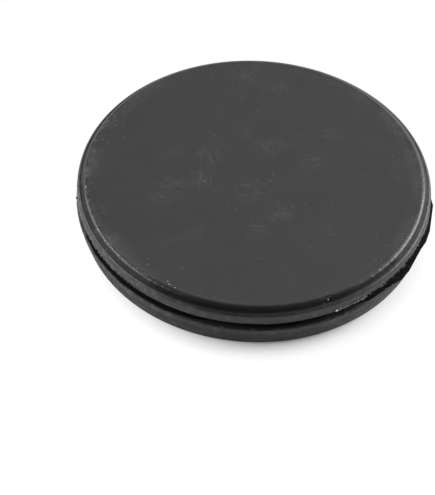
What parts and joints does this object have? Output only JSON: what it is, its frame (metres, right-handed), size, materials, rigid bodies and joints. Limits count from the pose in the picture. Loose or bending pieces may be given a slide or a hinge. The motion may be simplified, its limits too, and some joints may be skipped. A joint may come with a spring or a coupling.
{
  "type": "closed rubber grommet",
  "caption": "Closed round rubber grommet: a raised flat plate over a shouldered rim, a groove for the edge of a panel, and a tapered lower flange with a hollow underside.",
  "frame": {"origin": "centre of the foot of the lower flange, on the surface that the part stands on", "axes": "+Z along the axis of revolution, up to the raised plate; +X and +Y are any two directions across, as the part is round"},
  "size_m": [0.0602, 0.0602, 0.0092],
  "materials": {
    "rubber": "satin black moulded rubber, slightly dusty, with faint smudges"
  },
  "bodies": {
    "root": {"grommet": "rubber"}
  },
  "joints": []
}
